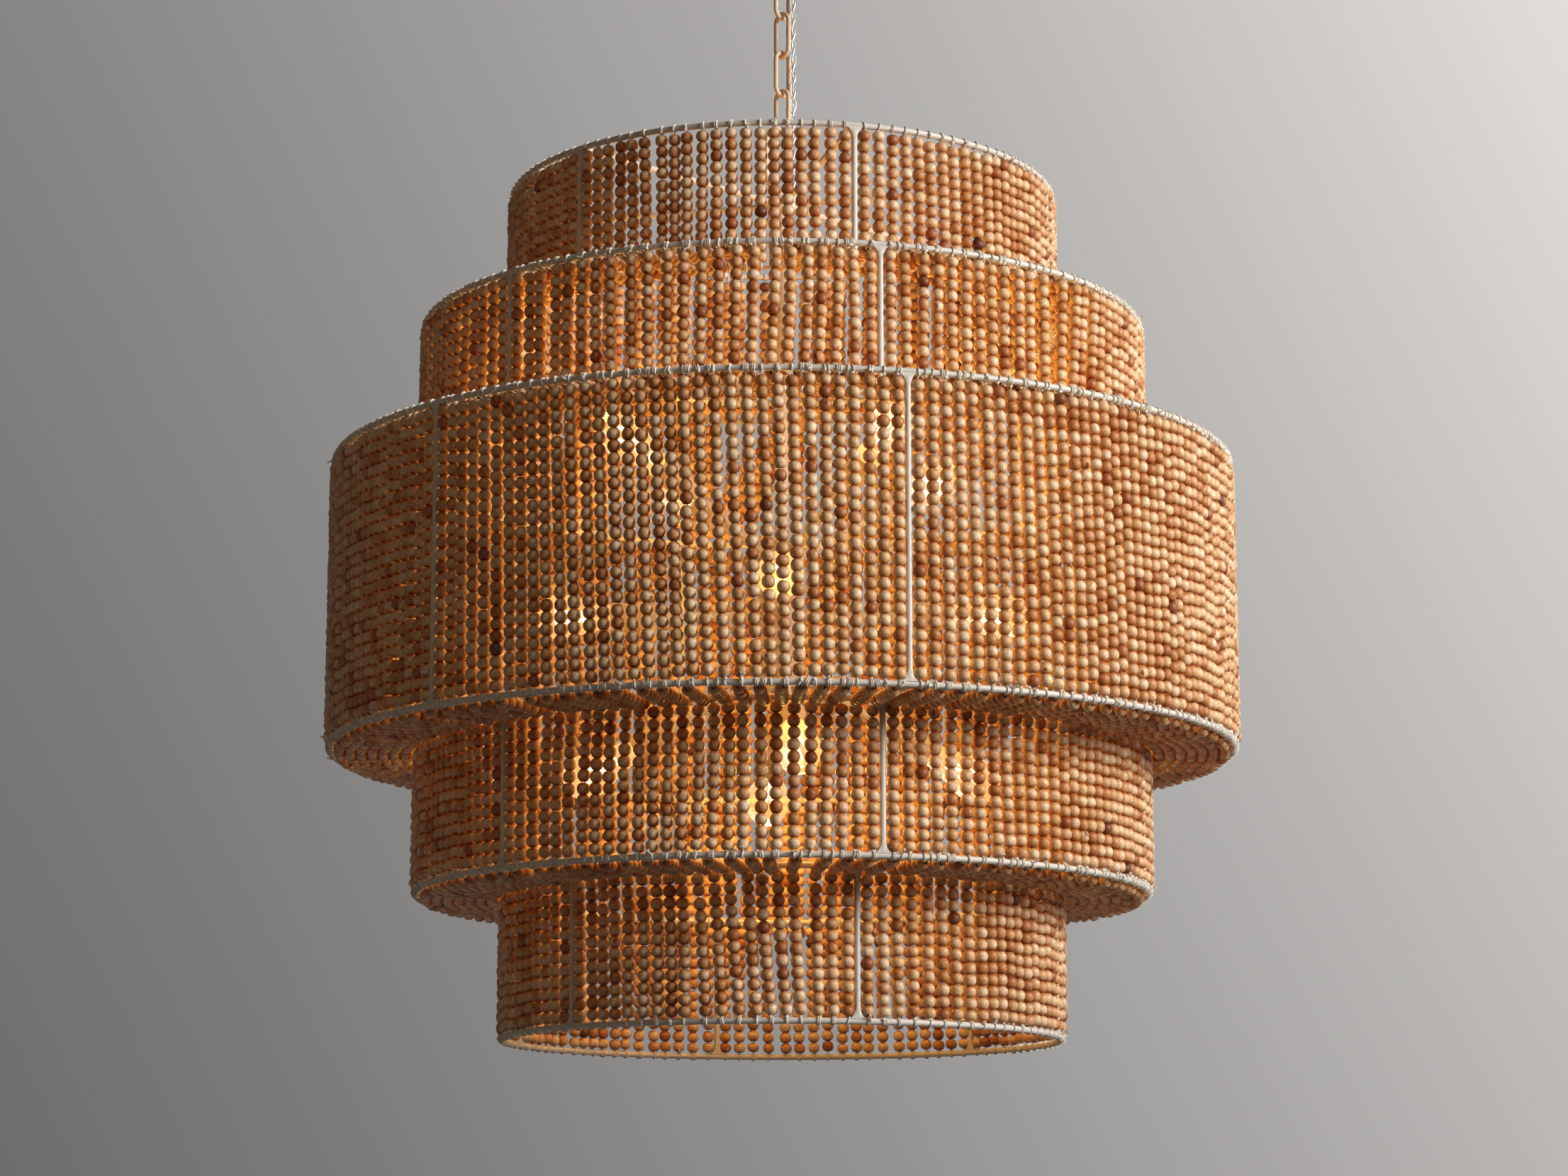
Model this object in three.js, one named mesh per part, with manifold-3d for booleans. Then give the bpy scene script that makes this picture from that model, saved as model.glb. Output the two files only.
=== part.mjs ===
// Beaded chandelier: five stacked drums of round steel rod, hung with strands of wooden beads,
// on a short chain below a ceiling canopy, with twelve clear bulbs inside.
// Millimetres, +Z up. The origin is where the mounting strap meets the ceiling.
import * as THREE from 'three';
import Module from 'manifold-3d';

const wasm = await Module();
wasm.setup();

// Clearances
const fitGap = 0.3; // between two pieces that touch
const looseGap = 0.5; // between a strand and the ring below it
const overrun = 2; // how far a cut runs past the face that it opens
const mergeShare = 1 / 300; // of the fit gap: corners this close are one corner

// Drums, from the top one to the bottom one
const rodDiameter = 6.35;
const drumRadii = [294, 387, 480, 387, 294]; // to the middle of the ring's rod
const shortDrumHeight = 152;
const tallDrumHeight = 304;
const drumHeights = [
  shortDrumHeight, shortDrumHeight, tallDrumHeight, shortDrumHeight, shortDrumHeight,
];
const barCount = 6;
const ringSteps = 24;
const ringSides = 5;
const rodSides = 6;

// Bead strands
const beadDiameter = 13; // across the string
const strandCounts = [48, 48, 96, 72, 48];
const radialStrandCount = 48;
const strandSides = 3;
const strandShiftShare = 1 / 4; // of a strand's radius, to keep its corners clear of the lashings
const lashingWidth = 13; // of the flat band that the vertical strands hang from
const lashingThickness = 2.5;
const hoopThickness = 2; // of the hoop that the radial strands start from
const hoopHeight = 11;

// Ceiling fitting
const canopyDiameter = 130;
const canopyHeight = 28;
const canopyWall = 1.6;
const canopyNeckDiameter = 44;
const canopySides = 16;
const shoulderHeightShare = 0.82; // of the canopy's height, half-way between neck and rim
const flankWidthShare = 0.93; // of the canopy's radius
const flankHeightShare = 0.4; // of the canopy's height
const strapHoleSpacing = 88;
const strapEndMargin = 8; // from a hole's middle to the strap's end
const strapLength = strapHoleSpacing + 2 * strapEndMargin;
const strapWidth = 22;
const strapThickness = 2.5;
const strapHoleDiameter = 5;
const nippleDiameter = 10;
const collarDiameter = 21;
const collarHeight = 12;
const canopyLoopDiameter = 36;
const loopWire = 6.4;
const loopSunkShare = 1 / 4; // of the wire, sunk into the collar
const loopSteps = 16;
const collarSides = 12;
const grommetFlangeDiameter = 11;
const grommetFlangeHeight = 3;
const grommetShankDiameter = 8;
const grommetShankHeight = 5;
const canopyGrommetOffset = 14.5; // along +X and along -Y

// Chain
const linkCount = 5;
const linkWire = 5;
const linkOuterLength = 55;
const linkOuterWidth = 24.6;
const linkBendSteps = 6;
const linkSides = 6;

// Hub, its loop and the spider
const hubLoopOuterLength = 82;
const hubLoopOuterWidth = 55;
const hubLoopBendSteps = 8;
const hubDiameter = 38;
const hubHeight = 16;
const hubEdge = 2;
const hubSides = 12;
const hubGrommetOffset = 9; // along +X and along -Y

// Flex, the points of its middle line from the canopy down to the hub
const flexDiameter = 6.6;
const flexSides = 8;
const flexPoints = [
  [[14.5, -14.5, -31.6], [14.4, -14.4, -42], [12.6, -12.4, -52], [9.6, -9.9, -66], [8.9, -8.7, -80],
    [8.6, -8.9, -92]],
  [[8.6, -8.9, -92.3], [8.5, -9.1, -104], [8.7, -9.3, -118], [9.2, -8.9, -132], [9.4, -8.5, -146],
    [9.2, -8.3, -160], [8.8, -8.4, -178]],
  [[8.8, -8.4, -178.3], [8.5, -8.8, -192], [8.4, -9.2, -206], [8.6, -9.4, -222], [9, -9.1, -238],
    [9.3, -8.7, -252], [9.3, -8.6, -270]],
  [[9.3, -8.6, -270.3], [9, -8.9, -284], [8.8, -9.1, -298], [8.8, -9.2, -316], [8.7, -9, -336],
    [9, -9, -352], [9, -9, -360.6]],
];

// Lights
const stemDiameter = 13;
const lampBodyDiameter = 46;
const lampBodyHeight = 160;
const lampBodyMiddle = 453; // above the lowest ring
const armDiameter = 10;
const armLength = 138; // from the stem's axis to the socket
const lightLevelSpacing = 55;
const lightLevels = [
  { name: 'upper', height: lightLevelSpacing, tilt: 30, turn: -10 },
  { name: 'middle', height: 0, tilt: 0, turn: 45 },
  { name: 'lower', height: -lightLevelSpacing, tilt: -30, turn: 50 },
];
const levelLightCount = 4;
const socketDiameter = 30;
const socketLength = 46;
const socketWall = 1.5;
const socketFloor = 8;
const bulbCapDiameter = 26;
const bulbCapLength = 37;
const bulbNeckDiameter = 27;
const bulbDiameter = 48;
const bulbGlassLength = 82;
const bulbNeckShare = 0.2; // of the glass, up to where it widens
const bulbBellyShare = 0.62; // of the glass, up to where it is widest
const bulbTipShare = 0.86; // of the glass, up to where it rounds off
const bulbTipWidthShare = 0.8; // of the glass's radius, there
const finialDiameter = 20;
const finialHeight = 22;
const lightSides = 8;

// Places worked out from the sizes above
const rodRadius = rodDiameter / 2;
const canopyLoopRadius = (canopyLoopDiameter - loopWire) / 2;
const collarBottom = -canopyHeight - fitGap - collarHeight;
const canopyLoopMiddle = collarBottom - canopyLoopRadius + loopWire * loopSunkShare;
const canopyLoopLow = canopyLoopMiddle - canopyLoopRadius; // middle of the loop's lowest wire
const linkSpan = linkOuterLength - linkWire; // between the middles of a link's two end wires
const firstLinkTop = canopyLoopLow + (loopWire + linkWire) / 2 + fitGap;
const linkPitch = linkSpan - linkWire - fitGap;
const lastLinkLow = firstLinkTop - linkPitch * (linkCount - 1) - linkSpan;
const hubLoopSpan = hubLoopOuterLength - loopWire;
const hubLoopTop = lastLinkLow + (loopWire + linkWire) / 2 + fitGap;
const hubLoopLow = hubLoopTop - hubLoopSpan;
const hubTop = hubLoopLow - loopWire / 2 - fitGap;
const hubMiddle = hubTop - hubHeight / 2;
const planes = drumHeights.reduce((list, h) => [...list, list[list.length - 1] - h], [hubMiddle]);
const lowestPlane = planes[planes.length - 1];
const lampMiddle = lowestPlane + lampBodyMiddle;

// Materials
const paint = new THREE.MeshStandardMaterial({ color: 0xd9cdbd, roughness: 0.5, metalness: 0.1 });
const chainPaint = new THREE.MeshStandardMaterial({ color: 0xdbbfa8, roughness: 0.5, metalness: 0.1 });
const wood = new THREE.MeshStandardMaterial({ color: 0xc08a5c, roughness: 0.45, metalness: 0 });
const steel = new THREE.MeshStandardMaterial({ color: 0x9a9a98, roughness: 0.35, metalness: 0.9 });
const clearFlex = new THREE.MeshStandardMaterial({ color: 0xd8d8d4, roughness: 0.2, metalness: 0.2 });
const cup = new THREE.MeshStandardMaterial({ color: 0xe6cdb4, roughness: 0.55, metalness: 0 });
const glass = new THREE.MeshStandardMaterial({ color: 0xfff0d8, roughness: 0.05, metalness: 0 });
const rubber = new THREE.MeshStandardMaterial({ color: 0xcfc6ba, roughness: 0.7, metalness: 0 });

const chandelier = new THREE.Group();

function addPiece(name, geometry, material) {
  const mesh = new THREE.Mesh(geometry, material);
  mesh.name = name;
  chandelier.add(mesh);
  return mesh;
}

// Closed geometry to solid and back, for joins and cuts
function solidOf(geometry) {
  const { position } = geometry.attributes;
  const vertProperties = new Float32Array(position.array);
  const corners = geometry.index ? geometry.index.array : Array(position.count).keys();
  const mesh = new wasm.Mesh({ numProp: 3, vertProperties, triVerts: Uint32Array.from(corners) });
  mesh.tolerance = fitGap * mergeShare;
  mesh.merge();
  return new wasm.Manifold(mesh);
}

function geometryOf(solid) {
  const mesh = solid.getMesh();
  const geometry = new THREE.BufferGeometry();
  geometry.setAttribute('position', new THREE.BufferAttribute(mesh.vertProperties, 3));
  geometry.setIndex(new THREE.BufferAttribute(mesh.triVerts, 1));
  return geometry;
}

function joinAll(geometries) {
  return geometries.slice(1).reduce((sum, g) => sum.add(solidOf(g)), solidOf(geometries[0]));
}

// Round rod between two points
function rodBetween(from, to, diameter, sides) {
  const a = new THREE.Vector3(...from);
  const b = new THREE.Vector3(...to);
  const rod = new THREE.CylinderGeometry(diameter / 2, diameter / 2, a.distanceTo(b), sides);
  const turn = new THREE.Quaternion().setFromUnitVectors(
    new THREE.Vector3(0, 1, 0), b.clone().sub(a).normalize());
  const middle = a.clone().add(b).multiplyScalar(1 / 2);
  return rod.applyMatrix4(new THREE.Matrix4().compose(middle, turn, new THREE.Vector3(1, 1, 1)));
}

function polar(radius, angle, z) {
  return [radius * Math.cos(angle), radius * Math.sin(angle), z];
}

// Profile of [radius, height] points, spun round +Z
function turned(points, sides) {
  const profile = points.map(([r, z]) => new THREE.Vector2(r, z));
  return new THREE.LatheGeometry(profile, sides).rotateX(Math.PI / 2);
}

function ringRod(radius, z) {
  const ring = new THREE.TorusGeometry(radius, rodRadius, ringSides, ringSteps);
  return ring.translate(0, 0, z);
}

// Flat or upright hoop that keeps to the many-sided ring: a polygon with a polygon hole
function hoop(outerRadius, innerRadius, low, high) {
  const corner = (r, i) => polar(r, (i * 2 * Math.PI) / ringSteps, 0).slice(0, 2);
  const corners = (r) => Array.from({ length: ringSteps }, (_, i) => new THREE.Vector2(...corner(r, i)));
  const shape = new THREE.Shape(corners(outerRadius));
  shape.holes.push(new THREE.Path(corners(innerRadius)));
  const body = new THREE.ExtrudeGeometry(shape, { depth: high - low, bevelEnabled: false });
  return body.translate(0, 0, low);
}

// How far out the many-sided ring lies at an angle
function onRing(radius, angle) {
  const step = (2 * Math.PI) / ringSteps;
  const fromMiddle = angle - (Math.floor(angle / step) + 1 / 2) * step;
  return (radius * Math.cos(step / 2)) / Math.cos(fromMiddle);
}

const barAngles = Array.from({ length: barCount }, (_, i) => (i * 2 * Math.PI) / barCount);

// One drum's frame: two rings, six bars, and short rods inwards to the rings that it meets
function drumFrame(index, rodsAt) {
  const radius = drumRadii[index];
  const parts = [ringRod(radius, planes[index]), ringRod(radius, planes[index + 1])];
  for (const angle of barAngles) {
    const top = polar(radius, angle, planes[index]);
    parts.push(rodBetween(top, polar(radius, angle, planes[index + 1]), rodDiameter, rodSides));
    for (const { plane, inner } of rodsAt) {
      const innerEnd = polar(inner + rodRadius + fitGap, angle, plane);
      parts.push(rodBetween(innerEnd, polar(radius, angle, plane), rodDiameter, rodSides));
    }
  }
  return joinAll(parts);
}

// One drum's curtain: strands that hang from the lashing band under the upper ring
function curtain(index) {
  const radius = drumRadii[index];
  const bandTop = planes[index] - rodRadius - fitGap;
  const bandLow = bandTop - lashingThickness;
  const strandTop = bandTop - lashingThickness / 2;
  const strandLow = planes[index + 1] + rodRadius + looseGap;
  let body = solidOf(hoop(radius + lashingWidth / 2, radius - lashingWidth / 2, bandLow, bandTop));
  for (const angle of barAngles) {
    const holeSide = rodDiameter + 2 * fitGap;
    const hole = new THREE.BoxGeometry(holeSide, holeSide, lashingThickness + 2 * overrun);
    hole.translate(radius, 0, (bandTop + bandLow) / 2).rotateZ(angle);
    body = body.subtract(solidOf(hole));
  }
  const strandRadius = beadDiameter / 2;
  for (let i = 0; i < strandCounts[index]; i++) {
    const angle = ((i + 1 / 2) * 2 * Math.PI) / strandCounts[index];
    const out = onRing(radius, angle) - strandRadius * strandShiftShare;
    const strand = new THREE.CylinderGeometry(strandRadius, strandRadius, strandTop - strandLow,
      strandSides);
    strand.rotateX(Math.PI / 2).rotateZ(angle + Math.PI / 2);
    strand.translate(...polar(out, angle, (strandTop + strandLow) / 2));
    body = body.add(solidOf(strand));
  }
  return body;
}

// Radial strands under a step, from a hoop inside the outer ring towards the inner ring
function radialStrands(plane, outer, inner) {
  const top = plane - rodRadius - fitGap;
  const hoopOuter = outer - lashingWidth / 2 - looseGap;
  const hoopInner = hoopOuter - hoopThickness;
  const innerEnd = inner + lashingWidth / 2 + looseGap;
  const strandRadius = beadDiameter / 2;
  let body = solidOf(hoop(hoopOuter, hoopInner, top - hoopHeight, top));
  for (let i = 0; i < radialStrandCount; i++) {
    const angle = ((i + 1 / 2) * 2 * Math.PI) / radialStrandCount;
    const outerEnd = onRing(hoopInner, angle) + hoopThickness / 2;
    const strand = new THREE.CylinderGeometry(strandRadius, strandRadius, outerEnd - innerEnd,
      strandSides);
    strand.rotateZ(-Math.PI / 2);
    strand.translate((outerEnd + innerEnd) / 2, 0, top - hoopHeight / 2 - strandRadius * strandShiftShare);
    strand.rotateZ(angle);
    body = body.add(solidOf(strand));
  }
  return body;
}

// Oval of wire in the XZ plane, from its outer length and width, with its top wire at z
class OvalCurve extends THREE.Curve {
  constructor(span, width) {
    super();
    this.radius = width / 2;
    this.straight = span - width;
    this.total = 2 * this.straight + 2 * Math.PI * this.radius;
  }

  getPoint(t, target = new THREE.Vector3()) {
    const bend = Math.PI * this.radius;
    let s = (t - Math.floor(t)) * this.total;
    if (s < bend) {
      const a = s / this.radius;
      return target.set(this.radius * Math.cos(a), 0, this.straight / 2 + this.radius * Math.sin(a));
    }
    s -= bend;
    if (s < this.straight) return target.set(-this.radius, 0, this.straight / 2 - s);
    s -= this.straight;
    if (s < bend) {
      const a = s / this.radius;
      return target.set(-this.radius * Math.cos(a), 0, -this.straight / 2 - this.radius * Math.sin(a));
    }
    return target.set(this.radius, 0, s - bend - this.straight / 2);
  }
}

// Closed tube round an oval: rings of points at the bends, joined to the next ring
function ovalOfWire(outerLength, outerWidth, wire, bendSteps, sides) {
  const curve = new OvalCurve(outerLength - wire, outerWidth - wire);
  const bendShare = (Math.PI * curve.radius) / curve.total;
  const stops = [];
  for (let i = 0; i <= bendSteps; i++) stops.push((bendShare * i) / bendSteps);
  for (let i = 0; i <= bendSteps; i++) stops.push(1 / 2 + (bendShare * i) / bendSteps);
  const positions = [];
  for (const t of stops) {
    const point = curve.getPoint(t);
    const z = Math.min(Math.max(point.z, -curve.straight / 2), curve.straight / 2);
    const outward = point.clone().sub(new THREE.Vector3(0, 0, z)).normalize();
    for (let j = 0; j < sides; j++) {
      const a = (j * 2 * Math.PI) / sides;
      const place = point.clone().addScaledVector(outward, (Math.cos(a) * wire) / 2);
      positions.push(place.x, (Math.sin(a) * wire) / 2, place.z);
    }
  }
  const index = [];
  for (let i = 0; i < stops.length; i++) {
    const next = (i + 1) % stops.length;
    for (let j = 0; j < sides; j++) {
      const k = (j + 1) % sides;
      const [a, b, c, d] = [i * sides + j, i * sides + k, next * sides + k, next * sides + j];
      index.push(a, b, c, a, c, d);
    }
  }
  const geometry = new THREE.BufferGeometry();
  geometry.setAttribute('position', new THREE.Float32BufferAttribute(positions, 3));
  geometry.setIndex(index);
  return geometry;
}

// Ceiling fitting
function makeCanopy() {
  const r = canopyDiameter / 2;
  const neck = canopyNeckDiameter / 2;
  const hole = nippleDiameter / 2 + fitGap;
  const shoulder = (neck + r) / 2;
  const shoulderLow = -canopyHeight * shoulderHeightShare;
  const flank = r * flankWidthShare;
  const flankLow = -canopyHeight * flankHeightShare;
  const profile = [
    [hole, -canopyHeight], [neck, -canopyHeight], [shoulder, shoulderLow], [flank, flankLow],
    [r, -fitGap], [r - canopyWall, -fitGap],
    [flank - canopyWall, flankLow + canopyWall * flankHeightShare],
    [shoulder, shoulderLow + canopyWall], [neck, -canopyHeight + canopyWall],
    [hole, -canopyHeight + canopyWall], [hole, -canopyHeight],
  ];
  const bell = solidOf(turned(profile, canopySides));
  const flexHole = rodBetween([canopyGrommetOffset, -canopyGrommetOffset, -canopyHeight - overrun],
    [canopyGrommetOffset, -canopyGrommetOffset, -canopyHeight + canopyWall + overrun],
    grommetShankDiameter + 2 * fitGap, lightSides);
  return geometryOf(bell.subtract(solidOf(flexHole)));
}

function makeStrap() {
  const bar = new THREE.BoxGeometry(strapLength, strapWidth, strapThickness);
  bar.translate(0, 0, -strapThickness / 2);
  let body = solidOf(bar);
  for (const side of [-1, 0, 1]) {
    const x = (side * strapHoleSpacing) / 2;
    const diameter = side === 0 ? nippleDiameter + 2 * fitGap : strapHoleDiameter;
    body = body.subtract(solidOf(rodBetween([x, 0, -strapThickness - overrun], [x, 0, overrun],
      diameter, lightSides)));
  }
  return geometryOf(body);
}

function makeCanopyLoop() {
  const ring = new THREE.TorusGeometry(canopyLoopRadius, loopWire / 2, linkSides, loopSteps);
  ring.rotateX(Math.PI / 2).translate(0, 0, canopyLoopMiddle);
  const collar = rodBetween([0, 0, collarBottom], [0, 0, collarBottom + collarHeight],
    collarDiameter, collarSides);
  return geometryOf(joinAll([collar, ring]));
}

function makeGrommet() {
  const flange = grommetFlangeDiameter / 2;
  const shank = grommetShankDiameter / 2;
  return turned([[0, -grommetFlangeHeight], [flange, -grommetFlangeHeight], [flange, 0], [shank, 0],
    [shank, grommetShankHeight], [0, grommetShankHeight]], lightSides);
}

addPiece('canopy', makeCanopy(), paint);
addPiece('mounting_strap', makeStrap(), steel);
addPiece('nipple', rodBetween([0, 0, -canopyHeight], [0, 0, -fitGap], nippleDiameter, lightSides),
  steel);
addPiece('canopy_loop', makeCanopyLoop(), chainPaint);
addPiece('canopy_grommet', makeGrommet(), rubber)
  .position.set(canopyGrommetOffset, -canopyGrommetOffset, -canopyHeight - fitGap);

// Chain: link 1, 3 and 5 lie in the YZ plane, link 2 and 4 in the XZ plane
for (let i = 0; i < linkCount; i++) {
  const link = ovalOfWire(linkOuterLength, linkOuterWidth, linkWire, linkBendSteps, linkSides);
  const piece = addPiece(`link_${i + 1}`, link, chainPaint);
  piece.rotation.z = i % 2 === 0 ? Math.PI / 2 : 0;
  piece.position.z = firstLinkTop - i * linkPitch - linkSpan / 2;
}

// Flex: a tube along each stretch of its route
function makeFlex(points) {
  const curve = new THREE.CatmullRomCurve3(points.map((p) => new THREE.Vector3(...p)));
  const section = new THREE.Shape();
  for (let j = 0; j < flexSides; j++) {
    const a = (j * 2 * Math.PI) / flexSides;
    const place = [(Math.cos(a) * flexDiameter) / 2, (Math.sin(a) * flexDiameter) / 2];
    if (j === 0) section.moveTo(...place);
    else section.lineTo(...place);
  }
  const steps = points.length;
  return new THREE.ExtrudeGeometry(section, { steps, extrudePath: curve });
}

flexPoints.forEach((points, i) => addPiece(`flex_${i + 1}`, makeFlex(points), clearFlex));

// Hub loop and spider
addPiece('hub_loop', ovalOfWire(hubLoopOuterLength, hubLoopOuterWidth, loopWire,
  hubLoopBendSteps, linkSides), chainPaint).position.z = (hubLoopTop + hubLoopLow) / 2;

function makeSpider() {
  const r = hubDiameter / 2;
  const low = hubTop - hubHeight;
  const hub = turned([[0, low], [r - hubEdge, low], [r, low + hubEdge], [r, hubTop - hubEdge],
    [r - hubEdge, hubTop], [0, hubTop]], hubSides);
  const armEnd = drumRadii[0] - rodRadius - fitGap;
  const arms = barAngles.map((angle) => rodBetween(polar(r / 2, angle, hubMiddle),
    polar(armEnd, angle, hubMiddle), rodDiameter, rodSides));
  const hole = rodBetween([hubGrommetOffset, -hubGrommetOffset, hubTop - grommetShankHeight - fitGap],
    [hubGrommetOffset, -hubGrommetOffset, hubTop + overrun],
    grommetShankDiameter + 2 * fitGap, lightSides);
  return geometryOf(joinAll([hub, ...arms]).subtract(solidOf(hole)));
}

addPiece('spider', makeSpider(), paint);
const hubGrommet = makeGrommet().rotateX(Math.PI);
addPiece('hub_grommet', hubGrommet, rubber)
  .position.set(hubGrommetOffset, -hubGrommetOffset, hubTop + fitGap);

// Drums
const frameRods = [
  [],
  [{ plane: planes[1], inner: drumRadii[0] }],
  [{ plane: planes[2], inner: drumRadii[1] }, { plane: planes[3], inner: drumRadii[3] }],
  [{ plane: planes[4], inner: drumRadii[4] }],
  [],
];
drumRadii.forEach((_, i) => {
  addPiece(`drum_frame_${i + 1}`, geometryOf(drumFrame(i, frameRods[i])), paint);
  addPiece(`bead_curtain_${i + 1}`, geometryOf(curtain(i)), wood);
});

// Steps between the drums: the plane, the outer drum and the inner drum
const stepPlaces = [
  [planes[1], drumRadii[1], drumRadii[0]],
  [planes[2], drumRadii[2], drumRadii[1]],
  [planes[3], drumRadii[2], drumRadii[3]],
  [planes[4], drumRadii[3], drumRadii[4]],
];
stepPlaces.forEach((place, i) => {
  addPiece(`radial_strands_${i + 1}`, geometryOf(radialStrands(...place)), wood);
});

// Lights
const bodyTop = lampMiddle + lampBodyHeight / 2;
const bodyLow = lampMiddle - lampBodyHeight / 2;
const stemTop = hubTop - hubHeight - fitGap;
addPiece('stem', rodBetween([0, 0, bodyTop + fitGap], [0, 0, stemTop], stemDiameter, hubSides),
  paint);

const lights = lightLevels.flatMap(({ name, height, tilt, turn }) => (
  Array.from({ length: levelLightCount }, (_, i) => {
    const turnAngle = THREE.MathUtils.degToRad(turn + (i * 360) / levelLightCount) - Math.PI / 2;
    const tiltAngle = THREE.MathUtils.degToRad(tilt);
    const [x, y] = polar(Math.cos(tiltAngle), turnAngle, 0);
    const direction = new THREE.Vector3(x, y, Math.sin(tiltAngle));
    return { name: `${name}_${i + 1}`, start: new THREE.Vector3(0, 0, lampMiddle + height), direction };
  })
));

function makeLampBody() {
  const r = lampBodyDiameter / 2;
  const body = turned([[0, bodyLow], [r - hubEdge, bodyLow], [r, bodyLow + hubEdge],
    [r, bodyTop - hubEdge], [r - hubEdge, bodyTop], [0, bodyTop]], hubSides);
  const arms = lights.map(({ start, direction }) => {
    const from = start.clone().addScaledVector(direction, r / 2);
    const to = start.clone().addScaledVector(direction, armLength);
    return rodBetween(from.toArray(), to.toArray(), armDiameter, rodSides);
  });
  return geometryOf(joinAll([body, ...arms]));
}

addPiece('lamp_body', makeLampBody(), paint);
addPiece('finial', turned([[0, -finialHeight], [finialDiameter / 4, -finialHeight],
  [finialDiameter / 2, -finialHeight / 2], [finialDiameter / 2, 0], [0, 0]], lightSides), paint)
  .position.z = bodyLow - fitGap;

function placeOnLight(piece, { start, direction }, distance) {
  piece.quaternion.setFromUnitVectors(new THREE.Vector3(0, 0, 1), direction);
  piece.position.copy(start).addScaledVector(direction, distance);
}

const capRadius = bulbCapDiameter / 2;
const socketBore = socketDiameter / 2 - socketWall;
for (const light of lights) {
  const r = socketDiameter / 2;
  const socket = turned([[0, 0], [r, 0], [r, socketLength], [socketBore, socketLength],
    [socketBore, socketFloor], [0, socketFloor]], lightSides);
  placeOnLight(addPiece(`socket_${light.name}`, socket, cup), light, armLength + fitGap);
  const glassR = bulbDiameter / 2;
  const g = bulbGlassLength;
  const bulb = turned([[0, 0], [capRadius, 0], [capRadius, bulbCapLength],
    [bulbNeckDiameter / 2, bulbCapLength + g * bulbNeckShare],
    [glassR, bulbCapLength + g * bulbBellyShare],
    [glassR * bulbTipWidthShare, bulbCapLength + g * bulbTipShare], [0, bulbCapLength + g]], lightSides);
  placeOnLight(addPiece(`bulb_${light.name}`, bulb, glass), light,
    armLength + fitGap + socketFloor + fitGap);
}

export default chandelier;
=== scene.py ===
"""Looks of the beaded chandelier: rod drums, wooden beads on cotton cord, chain, flex and lights.

Metres, +Z up, origin where the mounting strap meets the ceiling.
"""
import math

import bmesh
import bpy
import numpy as np
from mathutils import Matrix, Quaternion, Vector


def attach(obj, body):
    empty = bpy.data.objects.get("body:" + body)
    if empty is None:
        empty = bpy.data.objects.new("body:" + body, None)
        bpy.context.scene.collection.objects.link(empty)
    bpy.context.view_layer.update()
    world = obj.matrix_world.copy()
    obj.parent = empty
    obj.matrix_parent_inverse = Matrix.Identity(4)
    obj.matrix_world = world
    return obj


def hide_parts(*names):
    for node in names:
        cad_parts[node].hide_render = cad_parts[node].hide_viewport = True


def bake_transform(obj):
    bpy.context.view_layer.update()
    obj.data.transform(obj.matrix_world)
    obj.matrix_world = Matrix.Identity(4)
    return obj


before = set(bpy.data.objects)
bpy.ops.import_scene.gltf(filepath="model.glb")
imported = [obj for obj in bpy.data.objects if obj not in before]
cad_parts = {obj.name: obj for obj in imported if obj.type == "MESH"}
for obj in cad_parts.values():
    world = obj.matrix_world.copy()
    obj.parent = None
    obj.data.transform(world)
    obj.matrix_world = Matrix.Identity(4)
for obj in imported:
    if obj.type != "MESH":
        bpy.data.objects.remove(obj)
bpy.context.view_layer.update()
chance = np.random.default_rng(12)

FULL_TURN = 2 * math.pi
UP = Vector((0, 0, 1))
GAP = 0.0003  # between pieces that rest on each other

# Drums, from the top one to the bottom one, and spider
ROD_RADIUS = 0.003175
ROD_SIDES = 12
RING_STEPS = 120
DRUM_NAMES = ["top", "upper", "tall", "lower", "bottom"]
DRUM_RADII = [0.294, 0.387, 0.480, 0.387, 0.294]
PLANES = [-0.3722, -0.5242, -0.6762, -0.9802, -1.1322, -1.2842]  # heights of the rings
BAR_COUNT = 6
BAR_ANGLES = [number * FULL_TURN / BAR_COUNT for number in range(BAR_COUNT)]
STEP_RODS = [(1, 1, 0), (2, 2, 1), (2, 3, 3), (3, 4, 4)]  # outer drum, plane, inner drum
WELD_STOP = ROD_RADIUS * 0.6  # a rod ends this far from the middle of the ring it is welded to
WELD_DEPTH = 0.96  # of a weld, against the rod's own
WELD_SPREAD = [(2.9, 0.0024), (2.2, 0.0040), (1.65, 0.0060), (1.3, 0.0085), (1.08, 0.0115),
               (1.0, 0.015)]  # width against the rod's own, and distance from its end
HUB_TOP = -0.3642
HUB_RADIUS = 0.019
HUB_HEIGHT = 0.016

# Strands
BEAD_RADIUS = 0.0065
BEAD_HALF_LENGTH = 0.0058
BEAD_PITCH = 0.0117  # along the string, for a bead of the drawn length
BEAD_SIDES = 9
HOLE_RADIUS = 0.0018
BEAD_LENGTHS = [0.0118, 0.0118, 0.01205, 0.0118, 0.0117]  # along the string, in each drum
VERTICAL_STRANDS = [122, 137, 208, 156, 113]
BEADS_PER_STRAND = [12, 12, 24, 12, 12]
STRAND_LEAN = [0.002, 0.002, 0.0095, 0.003, 0.002]  # sideways drift down a strand, amid two bars
STRAND_SWAY = 0.0018
STEP_STRANDS = [110, 139, 139, 110]
BEADS_PER_STEP = 7
STEP_DROP = 0.0042  # of the radial strands below the middle of their rings
STEP_NEAR_END = 0.0042  # from a ring to a radial strand's end, where a curtain ends at the ring
STEP_FAR_END = 0.0068  # the same, where a curtain hangs from the ring
BAR_MARGIN = 0.0101  # from a bar's middle to the nearest strand's
CLOSEST = 2.02 * BEAD_RADIUS  # from strand to strand
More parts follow.
